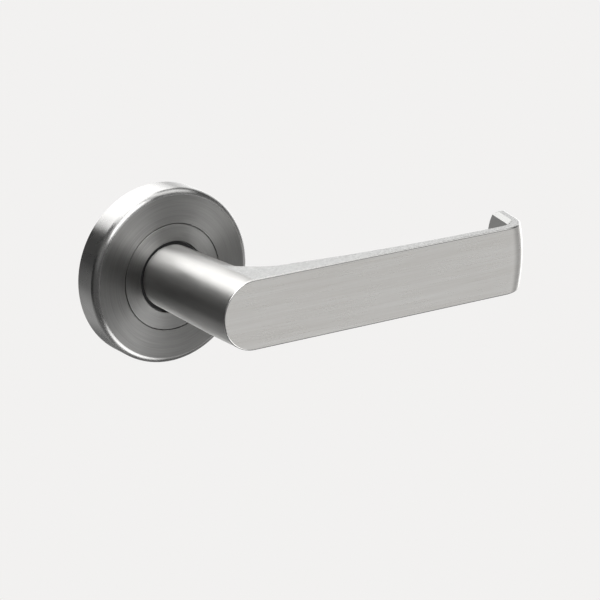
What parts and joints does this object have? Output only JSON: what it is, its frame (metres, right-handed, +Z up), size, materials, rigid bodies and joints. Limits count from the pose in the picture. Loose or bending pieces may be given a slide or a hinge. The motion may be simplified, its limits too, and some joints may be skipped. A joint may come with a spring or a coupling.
{
  "type": "door lever handle",
  "caption": "Sprung door lever on a round rose: flat grip with its end returned to the door, square spindle and tie posts behind.",
  "frame": {"origin": "centre of the rose's back face, on the spindle axis, where it meets the door", "axes": "+Y into the door along the spindle, +X along the grip to its free end at rest, +Z up"},
  "size_m": [0.159, 0.0953, 0.065],
  "materials": {
    "lever_steel": "satin brushed along the grip, brighter on the round neck",
    "rose_steel": "fine circular turned face with a polished rim",
    "zinc_plate": "zinc plated, slightly mottled",
    "die_cast": "as cast, fine grain",
    "bush_plastic": "black acetal, matt",
    "spring_steel": "oiled spring wire",
    "bright_steel": "drawn bright bar",
    "black_steel": "black oxide"
  },
  "bodies": {
    "rose": {"rose_cover": "rose_steel", "centre_ring": "rose_steel", "mounting_plate": "zinc_plate", "spring_housing": "die_cast", "front_bush": "bush_plastic", "rear_bush": "bush_plastic", "thrust_washer": "bright_steel", "return_spring": "spring_steel", "stop_pins": "bright_steel", "tie_posts": "zinc_plate", "housing_screws": "zinc_plate", "wood_screws": "zinc_plate", "spring_washer": "spring_steel", "snap_ring": "spring_steel"},
    "lever": {"lever_handle": "lever_steel", "square_spindle": "bright_steel", "grub_screw": "black_steel", "circlip": "spring_steel", "drive_cam": "die_cast"}
  },
  "joints": [
    {"name": "lever_turn", "type": "hinge", "parent": "rose", "child": "lever", "pos_m": [0, 0, 0], "axis": [0, 1, 0], "range_deg": [0, 45], "stiffness_Nm_per_rad": 1.2, "springref_deg": -22.92, "deforming": ["return_spring"]}
  ]
}
